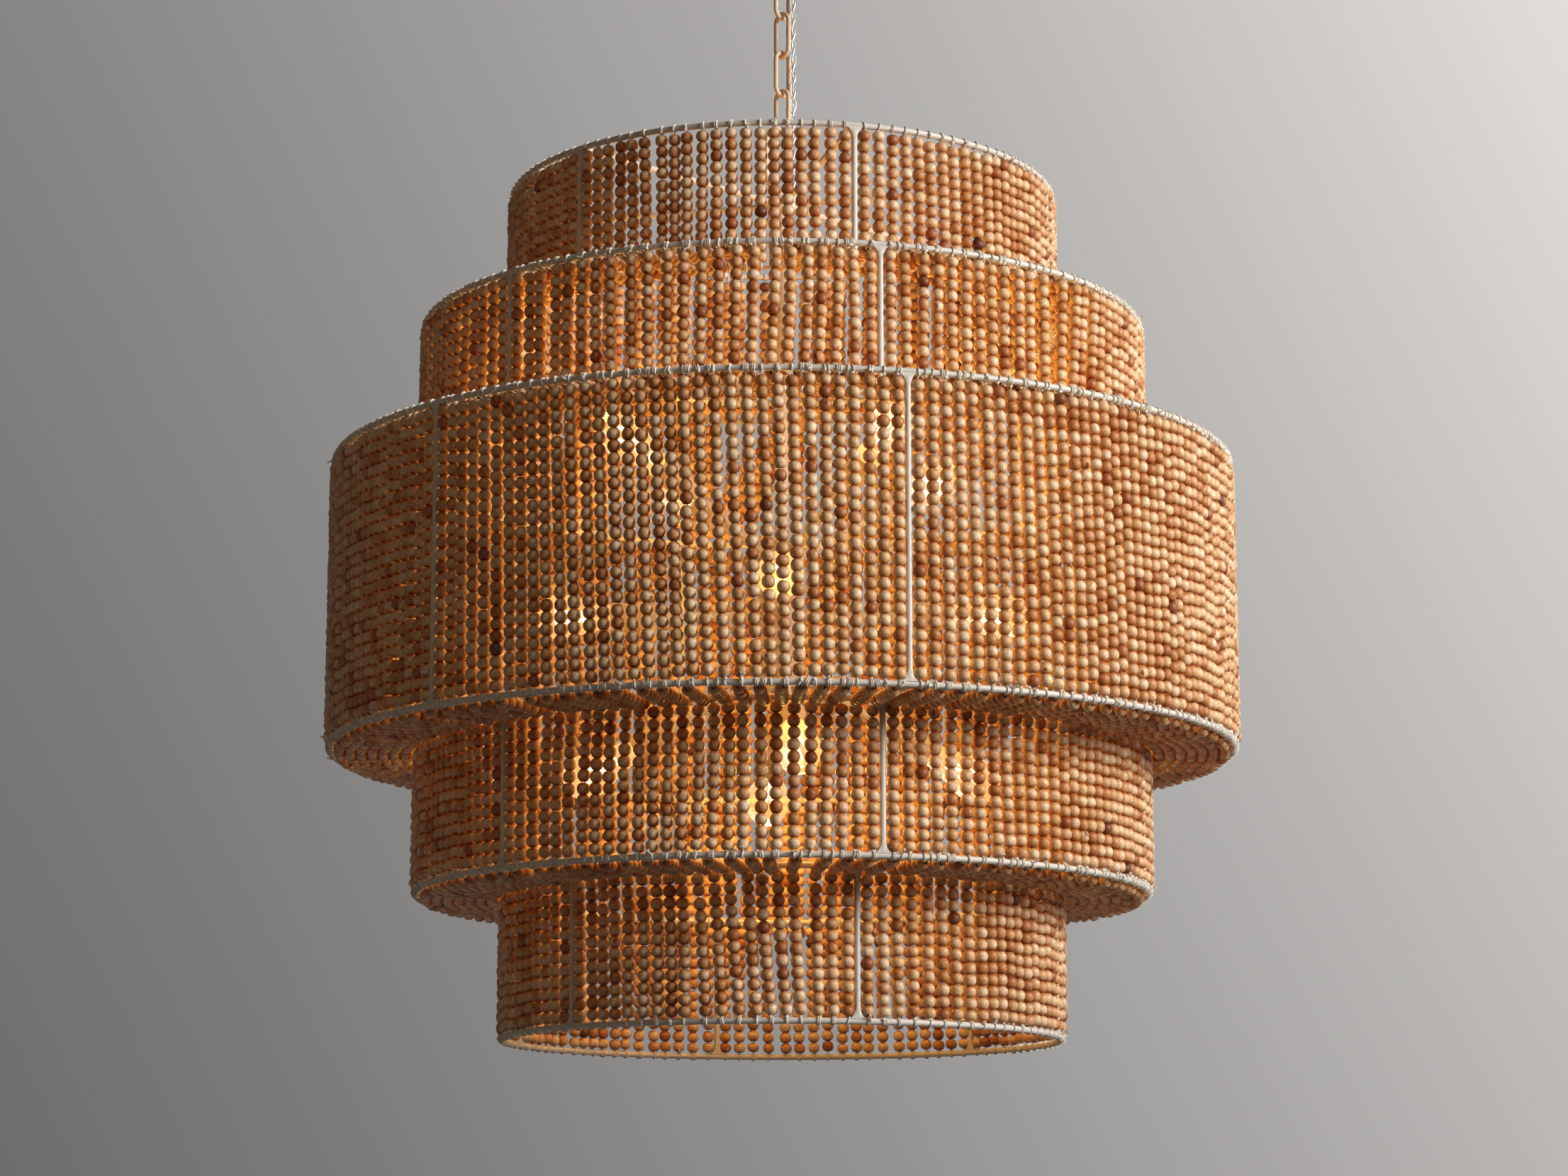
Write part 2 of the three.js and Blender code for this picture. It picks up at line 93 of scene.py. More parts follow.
TRIANGLES_PER_BEAD = 108
MOST_TRIANGLES = 190000  # of beads, in one piece

# Cotton
CORD_RADIUS = 0.00065
CORD_BITE = ROD_RADIUS * 0.6  # how far a strand's cord runs into its rings
WRAP_RADIUS = 0.00085
KNOT_RADIUS = 0.0018
STEP_LASHING_SHIFT = 0.005  # lashings of the radial strands sit beside those of the curtain

# Ceiling fitting and chain
CANOPY_LOOP_LOW = -0.0683
CANOPY_LOOP_RADIUS = 0.0148
COLLAR_LOW = -0.0403
LOOP_WIRE = 0.0064
LINK_WIRE = 0.005
LINK_LENGTH = 0.055
LINK_WIDTH = 0.0246
LINK_PITCH = 0.0447
FIRST_LINK_TOP = -0.0623
LINK_BODIES = ["top_link", "chain", "chain", "chain", "bottom_link"]
HUB_LOOP_TOP = -0.2851
HUB_LOOP_LENGTH = 0.082
HUB_LOOP_WIDTH = 0.055
CANOPY_PROFILE = [
    (0.0053, -0.028), (0.022, -0.028), (0.0245, -0.0277), (0.034, -0.0260),
    (0.0435, -0.02296), (0.0525, -0.0182), (0.0590, -0.0130), (0.06045, -0.0112),
    (0.0630, -0.0068), (0.0645, -0.0026), (0.065, -0.0003), (0.0634, -0.0003),
    (0.0629, -0.0026), (0.0613, -0.0064), (0.0585, -0.0106), (0.0512, -0.0168),
    (0.0430, -0.0213), (0.0335, -0.0245), (0.0240, -0.0261), (0.022, -0.0264),
    (0.0053, -0.0264)]
GROMMET_PROFILE = [(0, -0.003), (0.0046, -0.003), (0.0054, -0.0022), (0.0055, -0.0004),
                   (0.0052, 0), (0.004, 0), (0.004, 0.005), (0, 0.005)]

# Flex: upper body, lower body and height of each hinge, and the route across it in millimetres
FLEX_ROUTES = [
    ("canopy", "top_link", -0.0683, [
        (14.5, -14.5, -31.6), (14.4, -14.4, -42), (12.6, -12.4, -52), (9.6, -9.9, -66),
        (8.9, -8.7, -80), (8.6, -8.9, -92)]),
    ("top_link", "chain", -0.1123, [
        (8.6, -8.9, -92.3), (8.5, -9.1, -104), (8.7, -9.3, -118), (9.2, -8.9, -132),
        (9.4, -8.5, -146), (9.2, -8.3, -160), (8.8, -8.4, -178)]),
    ("chain", "bottom_link", -0.2464, [
        (8.8, -8.4, -178.3), (8.5, -8.8, -192), (8.4, -9.2, -206), (8.6, -9.4, -222),
        (9, -9.1, -238), (9.3, -8.7, -252), (9.3, -8.6, -270)]),
    ("bottom_link", "fixture", -0.2911, [
        (9.3, -8.6, -270.3), (9, -8.9, -284), (8.8, -9.1, -298), (8.8, -9.2, -316),
        (8.7, -9, -336), (9, -9, -352), (9, -9, -360.6)]),
]
SHEATH_RADIUS = 0.00166
CONDUCTOR_RADIUS = 0.0012
CORE_OFFSET = 0.00163  # from the flex's middle to each core's
TWIST_LENGTH = 0.034  # of one full twist

# Lights
LAMP_MIDDLE = -0.8312
BODY_TOP, BODY_LOW = LAMP_MIDDLE + 0.08, LAMP_MIDDLE - 0.08
BODY_RADIUS = 0.023
STEM_RADIUS = 0.0065
ARM_LENGTH = 0.138
ARM_START = 0.018
ARM_RADIUS = 0.005
LIGHT_LEVELS = [("upper", 0.055, 30, -10), ("middle", 0.0, 0, 45), ("lower", -0.055, -30, 50)]
LIGHTS_PER_LEVEL = 4
BULB_FOOT = ARM_LENGTH + 0.0086
FILAMENT_HEIGHTS = (0.058, 0.098)  # of a glowing stick's ends above the bulb's foot
FILAMENT_RADIUS = 0.0013
SOCKET_PROFILE = [
    (0, 0), (0.0138, 0), (0.0148, 0.0006), (0.015, 0.0018), (0.015, 0.0452), (0.0147, 0.046),
    (0.0137, 0.046), (0.0135, 0.0455), (0.0135, 0.008), (0, 0.008)]
GLASS_PROFILE = [
    (0, 0.0335), (0.0126, 0.0335), (0.0130, 0.037), (0.0132, 0.044), (0.0140, 0.052),
    (0.0165, 0.061), (0.0200, 0.070), (0.0228, 0.0795), (0.0240, 0.0885), (0.0236, 0.0975),
    (0.0218, 0.106), (0.0180, 0.1125), (0.0125, 0.1168), (0.0060, 0.1186), (0, 0.119)]

# Camera, floor and wall
CAMERA_TURN = math.radians(-44.5)  # where the camera stands, round from -Y
CAMERA_DISTANCE = 3.8851
CAMERA_HEIGHT = -1.5361
CAMERA_PITCH = 0.1873
CAMERA_PAN = -0.0005
FOCAL_PIXELS = 5180.05
IMAGE_WIDTH = 2212
SENSOR_WIDTH = 36
FLOOR_HEIGHT = -3.0
FLOOR_HALF_SIDE = 30
WALL_TONE = 0.268
WALL_RANGE = (0.5, 3.0)  # darkest and lightest place of the wall, against its tone ahead
WALL_SLOPE = (2.7, 0, 1.4)  # how fast the wall grows lighter to the right, away and up
ROOM_LIGHT = 0.03  # the wall's light on the lamp, against what is seen of it
LAMP_AIM = -0.8  # height that the studio lamps are aimed at

# Numbers of a Mix node's colour sockets, because its other kinds share their names
MIX_SHARE, MIX_FIRST, MIX_SECOND, MIX_RESULT = 0, 6, 7, 2


# Materials

WHITE = (1, 1, 1)


def add_node(tree, kind, inputs=None, **settings):
    """A new node; each input is a number, a vector, a colour or another node's output."""
    node = tree.nodes.new(f"ShaderNode{kind}")
    for name, value in settings.items():
        setattr(node, name, value)
    for name, value in (inputs or {}).items():
        socket = node.inputs[name]
        if isinstance(value, bpy.types.NodeSocket):
            tree.links.new(value, socket)
        else:
            socket.default_value = (*value, 1) if socket.type == "RGBA" else value
    return node


def new_finish(name):
    """An empty material and its node tree."""
    finish = bpy.data.materials.new(name)
    finish.use_nodes = True
    finish.node_tree.nodes.clear()
    return finish, finish.node_tree


def shaded(finish, inputs):
    """The material, with one shader that has these inputs."""
    shader = add_node(finish.node_tree, "BsdfPrincipled", inputs)
    add_node(finish.node_tree, "OutputMaterial", {"Surface": shader.outputs["BSDF"]})
    return finish


def attribute(tree, name, output="Fac"):
    """What a mesh holds under a name."""
    return add_node(tree, "Attribute", attribute_name=name).outputs[output]


def noise_on(tree, coordinates, scale, detail=2.0, stretch=(1, 1, 1)):
    """Noise over the object's own coordinates or over one of its attributes."""
    if coordinates == "Object":
        source = add_node(tree, "TexCoord").outputs["Object"]
    else:
        source = attribute(tree, coordinates, "Vector")
    mapped = add_node(tree, "Mapping", {"Vector": source, "Scale": stretch}).outputs["Vector"]
    noise = {"Vector": mapped, "Scale": scale, "Detail": detail}
    return add_node(tree, "TexNoise", noise).outputs["Fac"]


def ramp_from(tree, value, stops):
    """Colour ramp over stops of (position, colour)."""
    ramp = add_node(tree, "ValToRGB", {"Fac": value})
    elements = ramp.color_ramp.elements
    while len(elements) < len(stops):
        elements.new(0.5)
    for element, (position, colour) in zip(elements, stops):
        element.position = position
        element.color = (*colour, 1)
    return ramp.outputs["Color"]


def multiplied(tree, share, first, second):
    """First colour, darkened by the second."""
    inputs = {MIX_SHARE: share, MIX_FIRST: first, MIX_SECOND: second}
    return add_node(tree, "Mix", inputs, data_type="RGBA", blend_type="MULTIPLY").outputs[MIX_RESULT]


def scaled(tree, value, low, high):
    """A value from 0 to 1 as one from low to high."""
    inputs = {"Value": value, "To Min": low, "To Max": high}
    return add_node(tree, "MapRange", inputs).outputs["Result"]


def relief(tree, value, strength, distance):
    """Fine relief from a value."""
    inputs = {"Height": value, "Strength": strength, "Distance": distance}
    return add_node(tree, "Bump", inputs).outputs["Normal"]


def painted_finish(name, light_tone, dark_tone, roughness):
    """Sprayed paint: two close tones, a faint orange-peel and uneven gloss."""
    finish, tree = new_finish(name)
    patches = noise_on(tree, "Object", 14, 3)
    return shaded(finish, {
        "Base Color": ramp_from(tree, patches, [(0.35, dark_tone), (0.65, light_tone)]),
        "Roughness": scaled(tree, patches, roughness - 0.07, roughness + 0.09),
        "Normal": relief(tree, noise_on(tree, "Object", 900, 2), 0.12, 0.0002)})


def bead_finish(name, darkness=1.0):
    """Turned wood: a tone per bead, grain through it, end grain stained darker with painted shade where
    beads meet, and a thin satin varnish.
    """
    finish, tree = new_finish(name)
    colour = ramp_from(tree, attribute(tree, "bead_tone"), [
        (0.0, (0.92, 0.76, 0.56)), (0.22, (0.87, 0.65, 0.42)), (0.48, (0.775, 0.495, 0.265)),
        (0.72, (0.60, 0.29, 0.11)), (0.87, (0.39, 0.13, 0.04)), (1.0, (0.12, 0.035, 0.02))])
    blush = noise_on(tree, "bead_grain", 7, 0)
    clouds = noise_on(tree, "bead_grain", 130, 2)
    grain = noise_on(tree, "bead_grain", 760, 4, (0.55, 1, 0.7))
    pores = noise_on(tree, "bead_grain", 900, 2, (1, 1, 0.5))
    knots = noise_on(tree, "bead_grain", 95, 1, (1, 1, 0.6))
    for share, value, stops in (
            (0.8, blush, [(0.38, (1.0, 0.97, 0.87)), (0.5, WHITE), (0.62, (1.0, 0.91, 0.88))]),
            (0.9, clouds, [(0.38, (0.84, 0.71, 0.58)), (0.54, WHITE)]),
            (0.85, grain, [(0.36, (0.78, 0.62, 0.48)), (0.58, WHITE)]),
            (0.7, pores, [(0.24, (0.56, 0.40, 0.28)), (0.32, WHITE)]),
            (1.0, knots, [(0.75, WHITE), (0.79, (0.36, 0.18, 0.10))]),
            # bead_end darkens and warms the wood towards each bead's ends: stained end grain, and painted
            # shade where the beads meet
            (0.9, attribute(tree, "bead_end"), [(0.42, WHITE), (0.95, (0.60, 0.33, 0.14))])):
        colour = multiplied(tree, share, colour, ramp_from(tree, value, stops))
    # darkness paints shade: the wood made darker and more orange, for the shade inside a bead's bore
    if darkness != 1.0:
        colour = multiplied(tree, 1.0, colour, (darkness, darkness * 0.8, darkness * 0.6))
    return shaded(finish, {
        "Base Color": colour, "Roughness": scaled(tree, grain, 0.36, 0.54),
        "Specular IOR Level": 0.38, "Normal": relief(tree, grain, 0.25, 0.0002)})


def cotton_finish(name):
    """Undyed twisted cotton: uneven cream, fibres that break the outline of the shading."""
    finish, tree = new_finish(name)
    fibres = noise_on(tree, "Object", 1500, 3, (1, 1, 0.4))
    cream = [(0.3, (0.73, 0.65, 0.54)), (0.6, (0.91, 0.85, 0.75))]
    return shaded(finish, {
        "Base Color": ramp_from(tree, fibres, cream), "Roughness": 0.9, "Sheen Weight": 0.25,
        "Normal": relief(tree, fibres, 0.5, 0.0003)})


def metal_finish(name, tone, roughness, scale=300):
    """Bare metal with fine upright scratches."""
    finish, tree = new_finish(name)
    scratches = noise_on(tree, "Object", scale, 3, (1, 1, 6))
    dark = tuple(0.8 * c for c in tone)
    return shaded(finish, {
        "Base Color": ramp_from(tree, scratches, [(0.35, dark), (0.65, tone)]), "Metallic": 1.0,
        "Roughness": scaled(tree, scratches, roughness - 0.08, roughness + 0.1)})


def clear_finish(name, tone, roughness, alpha, glow=0.0):
    """Clear glass or plastic, thin enough that it hardly bends what is behind it."""
    finish, tree = new_finish(name)
    smear = noise_on(tree, "Object", 60, 2)
    return shaded(finish, {
        "Base Color": tone, "Transmission Weight": 1.0, "IOR": 1.12, "Alpha": alpha,
        "Emission Color": (1.0, 0.46, 0.14), "Emission Strength": glow,
        "Roughness": scaled(tree, smear, roughness, roughness + 0.04)})


def glowing_finish(name, tone, strength):
    """A surface that is seen by its own light."""
    finish, _ = new_finish(name)
    return shaded(finish, {"Base Color": tone, "Emission Color": tone,
                           "Emission Strength": strength})


frame_paint = painted_finish("frame_paint", (0.72, 0.67, 0.60), (0.66, 0.60, 0.53), 0.45)
# The chain's paint is given a lighter, more orange tone: its own paint, with painted warm glow from the
# bulbs below
chain_paint = painted_finish("chain_paint", (0.80, 0.61, 0.44), (0.72, 0.53, 0.37), 0.40)
sleeve_finish = painted_finish("socket_sleeve", (0.72, 0.54, 0.38), (0.66, 0.48, 0.33), 0.55)
grommet_finish = painted_finish("grommet_plastic", (0.58, 0.53, 0.46), (0.52, 0.47, 0.40), 0.6)
bead_wood = bead_finish("bead_wood")
# the walls inside the bead holes: the same wood with painted shade
bead_bore = bead_finish("bead_bore", 0.22)
cotton = cotton_finish("cotton_cord")
cap_brass = metal_finish("bulb_cap_brass", (0.72, 0.55, 0.30), 0.32)
strap_steel = metal_finish("strap_steel", (0.62, 0.62, 0.60), 0.35)
conductor_metal = metal_finish("conductor_tin", (0.75, 0.75, 0.74), 0.25, 900)
flex_plastic = clear_finish("flex_clear", (0.92, 0.92, 0.95), 0.06, 0.8)
bulb_glass = clear_finish("bulb_glass", (1.0, 0.97, 0.92), 0.02, 0.35, 1.2)
filament_glow = glowing_finish("filament_glow", (1.0, 0.68, 0.42), 2.4)


# Making pieces


def turned(profile, steps, closed=False):
    """A profile of (radius, height) points turned round Z."""
    shape = bmesh.new()
    points = [shape.verts.new((radius, 0, height)) for radius, height in profile]
    pairs = list(zip(points, points[1:] + points[:1])) if closed else list(zip(points, points[1:]))
    edges = [shape.edges.new(pair) for pair in pairs]
    bmesh.ops.spin(shape, geom=points + edges, cent=(0, 0, 0), axis=(0, 0, 1), angle=FULL_TURN,
                   steps=steps, use_merge=True)
    bmesh.ops.remove_doubles(shape, verts=shape.verts, dist=1e-6)
    bmesh.ops.recalc_face_normals(shape, faces=shape.faces)
    return shape


def ring_of(radius, wire_radius, steps):
    """Level ring of round wire or rod."""
    circle = [(radius + wire_radius * math.cos(angle), wire_radius * math.sin(angle))
              for angle in np.linspace(0, FULL_TURN, ROD_SIDES, endpoint=False)]
    return turned(circle, steps, closed=True)


def softened(radius, low, top, edge):
    """Profile of an upright cylinder with softened edges."""
    return [(0, low), (radius - 0.0025, low), (radius - 0.0005, low + 0.0007), (radius, low + edge),
            (radius, top - edge), (radius - 0.0005, top - 0.0007), (radius - 0.0025, top), (0, top)]


def placed(shape, matrix):
    """The shape, moved and turned by a matrix."""
    bmesh.ops.transform(shape, matrix=matrix, verts=shape.verts)
    return shape


def raised(shape, height):
    """The shape, moved straight up."""
    return placed(shape, Matrix.Translation((0, 0, height)))


def mesh_of(shape, name):
    """The mesh of a finished bmesh, which is used up."""
    mesh = bpy.data.meshes.new(name)
    shape.to_mesh(mesh)
    shape.free()
    return mesh


def add_part(whole, part):
    """Part joins the whole and is used up."""
    mesh = mesh_of(part, "part")
    whole.from_mesh(mesh)
    bpy.data.meshes.remove(mesh)


def link_new(name, data):
    """A new object in the scene."""
    made = bpy.data.objects.new(name, data)
    bpy.context.scene.collection.objects.link(made)
    return made


def facing(direction, axis="Z"):
    """Matrix that turns one axis of a shape to a direction."""
    return direction.to_track_quat(axis, "Y").to_matrix().to_4x4()


def along(start, end):
    """Matrix that puts an upright shape from start towards end."""
    return Matrix.Translation(start) @ facing(end - start)


def make_piece(shape, name, body, finishes, crease=35, stands_for=()):
    """A finished bmesh as a piece that rides on a body."""
    mesh = mesh_of(shape, name)
    for face in mesh.polygons:
        face.use_smooth = True
    mesh.set_sharp_from_angle(angle=math.radians(crease))
    return place_mesh(mesh, name, body, finishes, stands_for)


def place_mesh(mesh, name, body, finishes, stands_for=()):
    """A finished mesh as a piece that rides on a body and stands for CAD nodes."""
    for finish in finishes:
        mesh.materials.append(finish)
    piece = link_new(name, mesh)
    if body:
        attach(piece, body)
    if stands_for:
        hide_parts(*stands_for)
    return piece


# Drums and spider


def add_rod(whole, start, end, wide, welded=True, radius=ROD_RADIUS, sides=ROD_SIDES):
    """Round rod; a welded one spreads sideways, along wide, into a flat weld at both ends."""
    run = end - start
    low = [(radius * share, height) for share, height in WELD_SPREAD] if welded else [(radius, 0)]
    high = [(share, run.length - height) for share, height in reversed(low)]
    rod = turned([(0, 0), *low, *high, (0, run.length)], sides)
    half_depth = WELD_DEPTH * radius
    for vert in rod.verts:
        vert.co.y = max(-half_depth, min(half_depth, vert.co.y))
    ahead = run.normalized()
    turn = Matrix((wide, ahead.cross(wide), ahead)).transposed().to_4x4()
    add_part(whole, placed(rod, Matrix.Translation(start) @ turn))


def tangent_at(angle):
    """Direction along a ring."""
    return Vector((-math.sin(angle), math.cos(angle), 0))


def at_angle(radius, angle, height):
    """Point on a circle round the lamp's axis."""
    return Vector((radius * math.cos(angle), radius * math.sin(angle), height))


def make_drum_frame(drum):
    """Two rings, six bars between them and the rods of its steps, as one welded piece."""
    drum_frame = bmesh.new()
    radius, top, low = DRUM_RADII[drum], PLANES[drum], PLANES[drum + 1]
    for height in (top, low):
        add_part(drum_frame, raised(ring_of(radius, ROD_RADIUS, RING_STEPS), height))
    for angle in BAR_ANGLES:
        add_rod(drum_frame, at_angle(radius, angle, low), at_angle(radius, angle, top),
                tangent_at(angle))
        for outer, plane, inner in STEP_RODS:
            if outer == drum:
                add_rod(drum_frame, at_angle(radius, angle, PLANES[plane]),
                        at_angle(DRUM_RADII[inner] + WELD_STOP, angle, PLANES[plane]),
                        tangent_at(angle))
    make_piece(drum_frame, f"{DRUM_NAMES[drum]}_drum_frame", "fixture", [frame_paint],
               stands_for=[f"drum_frame_{drum + 1}"])


def make_spider():
    """Turned hub with softened edges and six arms to the top ring."""
    spider = turned(softened(HUB_RADIUS, HUB_TOP - HUB_HEIGHT, HUB_TOP, 0.0022), 40)
    for angle in BAR_ANGLES:
        add_rod(spider, at_angle(HUB_RADIUS - 0.0025, angle, PLANES[0]),
                at_angle(DRUM_RADII[0] - WELD_STOP, angle, PLANES[0]), tangent_at(angle))
    make_piece(spider, "spider", "fixture", [frame_paint], stands_for=["spider"])


for drum in range(len(DRUM_RADII)):
    make_drum_frame(drum)
make_spider()


# Beads


def bead_outline(end_radius):
    """Outline from one end of the bead over its belly to the other end."""
    half = [(end_radius, BEAD_HALF_LENGTH), (0.0051, 0.0044), (BEAD_RADIUS + 0.00005, 0.0018)]
    return half + [(radius, -height) for radius, height in reversed(half)]


def shape_arrays(shape, bore_below=0.0):
    """Points, face corners and material numbers of a bmesh, as arrays; it is used up."""
    shape.verts.ensure_lookup_table()
    points = np.array([v.co for v in shape.verts])
    faces = [[v.index for v in f.verts] for f in shape.faces]
    widths = [max(math.hypot(v.co.x, v.co.y) for v in f.verts) for f in shape.faces]
    shape.free()
    return points, faces, np.array([int(width < bore_below) for width in widths])


plain_shape = turned(bead_outline(0.0034), BEAD_SIDES)
bmesh.ops.holes_fill(plain_shape, edges=plain_shape.edges, sides=BEAD_SIDES)
bmesh.ops.recalc_face_normals(plain_shape, faces=plain_shape.faces)
plain_bead = shape_arrays(plain_shape)
bored_bead = shape_arrays(turned(bead_outline(HOLE_RADIUS), BEAD_SIDES, closed=True),
                          HOLE_RADIUS * 1.1)


def repeated(name, shape, places, body, finishes, tones=None, stands_for=()):
    """One mesh of many copies of a shape, each placed by a 4 by 4 matrix."""
    points, faces, kinds = shape
    places = np.asarray(places)
    count, size = len(places), len(points)
    all_points = np.einsum("nij,mj->nmi", places[:, :3, :3], points) + places[:, None, :3, 3]
    corners = np.concatenate([np.array(f) for f in faces])
    lengths = np.array([len(f) for f in faces])
    all_corners = (corners[None] + np.arange(count)[:, None] * size).ravel()
    all_lengths = np.tile(lengths, count)
    mesh = bpy.data.meshes.new(name)
    mesh.vertices.add(count * size)
    mesh.vertices.foreach_set("co", all_points.astype(np.float32).ravel())
    mesh.loops.add(len(all_corners))
    mesh.loops.foreach_set("vertex_index", all_corners.astype(np.int32))
    mesh.polygons.add(len(all_lengths))
    mesh.polygons.foreach_set("loop_start", (np.cumsum(all_lengths) - all_lengths).astype(np.int32))
    mesh.polygons.foreach_set("material_index", np.tile(kinds, count).astype(np.int32))
    mesh.polygons.foreach_set("use_smooth", np.ones(len(all_lengths), bool))
    mesh.update(calc_edges=True)
    mesh.validate()
    mesh.set_sharp_from_angle(angle=math.radians(70))
    if tones is not None:
        tone = mesh.attributes.new("bead_tone", "FLOAT", "POINT")
        tone.data.foreach_set("value", np.repeat(tones, size).astype(np.float32))
        # bead_end runs from 0 at a bead's middle to 1 at its ends; the wood darkens along it, part
        # end-grain stain, part painted shade
        end = mesh.attributes.new("bead_end", "FLOAT", "POINT")
        ends = np.abs(points[:, 2]) / np.abs(points[:, 2]).max()
        end.data.foreach_set("value", np.tile(ends, count).astype(np.float32))
        shift = chance.uniform(-1, 1, (count, 1, 3))
        grain = mesh.attributes.new("bead_grain", "FLOAT_VECTOR", "POINT")
        grain.data.foreach_set("vector", (points[None] + shift).astype(np.float32).ravel())
    return place_mesh(mesh, name, body, finishes, stands_for)


def turn_to(directions):
    """Rotation matrices whose Z lies along each direction, with a chance spin."""
    z = directions / np.linalg.norm(directions, axis=1, keepdims=True)
    helper = np.where(np.abs(z[:, 2:3]) > 0.9, [[1.0, 0, 0]], [[0, 0, 1.0]])
    x = np.cross(helper, z)
    x /= np.linalg.norm(x, axis=1, keepdims=True)
    y = np.cross(z, x)
    spin = chance.uniform(0, FULL_TURN, len(z))[:, None]
    return np.stack([x * np.cos(spin) + y * np.sin(spin), y * np.cos(spin) - x * np.sin(spin), z], axis=2)


def strand_places(starts, ends, usual_count, bead_length, bows=None):
    """Places of the beads on strands that run, bowed sideways, from starts to ends."""
    places = []
    bows = np.zeros_like(starts) if bows is None else bows
    odd = 0.08 if usual_count > 20 else 0.0  # share of strands with a bead less, or one more
    for start, end, bow in zip(starts, ends, bows):
        run = end - start
        length = np.linalg.norm(run)
        count = usual_count + int(chance.choice([-1, 0, 1], p=[odd, 1 - 2 * odd, odd]))
        usual_length = bead_length * usual_count / count
        sizes = usual_length * np.clip(chance.normal(1, 0.032, count), 0.9, 1.1)
        sizes *= min(1, (length - 0.0006) / sizes.sum())
        slack = length - sizes.sum()
        shares = chance.exponential(0.25, count + 1) * (chance.random(count + 1) < 0.3)
        shares[0] += chance.uniform(0.6, 1.7)
        shares[-1] += chance.uniform(0.2, 0.9)
        gaps = slack * shares / shares.sum()
        travel = ((np.cumsum(gaps[:-1]) + np.cumsum(sizes) - sizes / 2) / length)[:, None]
        slopes = run + bow * math.pi * np.cos(math.pi * travel)
        directions = slopes / length + chance.normal(0, 0.045, (count, 3))
        widths = np.clip(chance.normal(1, 0.025, count), 0.94, 1.03)
        block = np.zeros((count, 4, 4))
        block[:, :3, :3] = turn_to(directions)
        block[:, :3, :2] *= widths[:, None, None]
        block[:, :3, 2] *= (sizes / BEAD_PITCH)[:, None]
        block[:, :3, 3] = (start + run * travel + bow * np.sin(math.pi * travel)
                           + chance.normal(0, 0.00015, (count, 3)))
        block[:, 3, 3] = 1
        places.append(block)
    return places


def bead_tones(count):
    """Mostly light tan, some orange brown, few dark."""
    tones = np.clip(chance.beta(2.0, 3.4, count), 0, 0.74)
    dark = chance.random(count)
    tones = np.where(dark < 0.075, chance.uniform(0.7, 0.88, count), tones)
    return np.where(dark < 0.006, chance.uniform(0.88, 1.0, count), tones)


def bar_clearance(radius, angles):
    """Distance along the ring to the nearest bar."""
    sector = FULL_TURN / BAR_COUNT
    return np.abs((angles + sector / 2) % sector - sector / 2) * radius


def sway(radius, angles, size):
    """Sideways shift that changes slowly round a ring and dies out next to the bars."""
    shift = np.zeros(len(angles))
    for order in (5, 8, 13, 21):
        shift += np.sin(order * angles + chance.uniform(0, FULL_TURN)) * 5 / (order + 5)
    return size * shift * np.clip((bar_clearance(radius, angles) - 0.012) / 0.04, 0, 1)


def gap_shares(count):
    """How the free room between each two bars is dealt out to the gaps between their strands."""
    bounds = [count * number // BAR_COUNT for number in range(BAR_COUNT + 1)]
    return [chance.gamma(2.0, 1, high - low - 1) for low, high in zip(bounds, bounds[1:])]


def spread_round(radius, shares):
    """Uneven angles for strands that keep clear of the six bars and of each other."""
    sector = FULL_TURN / BAR_COUNT
    margin = BAR_MARGIN / radius
    closest = CLOSEST / radius
    angles = []
    for number, share in enumerate(shares):
        room = sector - 2 * margin - closest * len(share)
        steps = closest + room * share / share.sum()
        angles.append(number * sector + margin + np.concatenate([[0], np.cumsum(steps)]))
    return np.concatenate(angles)


def on_circle(radius, angles, height):
    """Points on a circle round the lamp's axis, as an array."""
    return np.stack([radius * np.cos(angles), radius * np.sin(angles),
                     np.broadcast_to(height, np.shape(angles))], axis=1)


cords = []  # start and end of every strand's cord
lashings = []  # ring radius, height, angle, kind of every strand end on a ring


def make_curtain(drum):
    """The vertical strands of a drum."""
    radius, count = DRUM_RADII[drum], VERTICAL_STRANDS[drum]
    top = PLANES[drum] - ROD_RADIUS
    low = PLANES[drum + 1] + ROD_RADIUS
    shares = gap_shares(count)
    angles = spread_round(radius, shares)
    low_shares = [0.55 * share + 0.45 * share.mean() * chance.gamma(2.0, 1, len(share))
                  for share in shares]
    lean = STRAND_LEAN[drum] * np.sin(np.clip(angles * BAR_COUNT / FULL_TURN % 1, 0, 1) * math.pi)
    low_angles = spread_round(radius, low_shares) + lean / radius
    starts = on_circle(radius + chance.uniform(-0.0005, 0.0003, count), angles, top)
    ends = on_circle(radius + chance.uniform(-0.0005, 0.0003, count), low_angles, low)
    bend = sway(radius, angles, STRAND_SWAY) + chance.uniform(-0.0004, 0.0004, count)
    bows = on_circle(1, angles + math.pi / 2, 0) * bend[:, None]
    places = strand_places(starts, ends, BEADS_PER_STRAND[drum], BEAD_LENGTHS[drum], bows)
    cords.extend(zip(starts + [0, 0, CORD_BITE], ends - [0, 0, CORD_BITE]))
    lashings.extend((radius, PLANES[drum], angle, "top") for angle in angles)
    lashings.extend((radius, PLANES[drum + 1], angle, "low") for angle in low_angles)
    string_beads(f"{DRUM_NAMES[drum]}_bead", places, f"bead_curtain_{drum + 1}")


